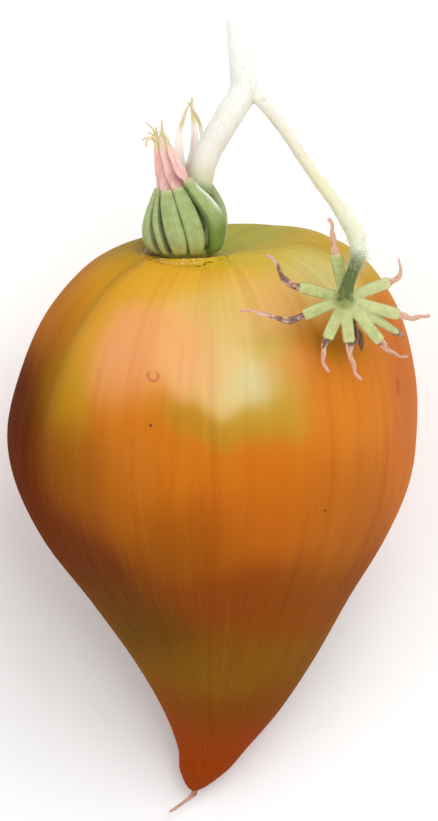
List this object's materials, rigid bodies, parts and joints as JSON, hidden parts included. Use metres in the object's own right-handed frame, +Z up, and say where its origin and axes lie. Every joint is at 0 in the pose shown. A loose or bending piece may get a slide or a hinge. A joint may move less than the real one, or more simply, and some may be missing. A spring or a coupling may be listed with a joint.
{
  "type": "tomato",
  "caption": "Heart-shaped ripening tomato as picked, lying on its flank, with an erect green calyx, a forked cut stem and a spent flower's star-shaped calyx.",
  "frame": {"origin": "middle of the flat spot on the fruit's back flank that it rests on", "axes": "+Z up from the surface that it lies on, +Y along the fruit from its tip to the cut stem, +X to the right seen from above with the stem away"},
  "size_m": [0.085, 0.1498, 0.0973],
  "materials": {
    "ripening_skin": "thin glossy tomato skin, ripening from green-gold shoulders to orange, with maroon-brown flanks",
    "green_sepal": "fleshy green sepals, faintly downy, with dry pink tips",
    "pale_stem": "pale cream-green stem skin with sparse fine hairs",
    "pale_sepal": "soft light green sepals with dry brown and pink ends",
    "dried_brown": "shrivelled dark brown petals",
    "dried_pink": "dry pinkish brown thread"
  },
  "bodies": {
    "root": {"fruit": "ripening_skin", "crown_calyx": "green_sepal", "truss_stem": "pale_stem", "spent_calyx": "pale_sepal", "withered_flower": "dried_brown", "style_remnant": "dried_pink"}
  },
  "joints": []
}
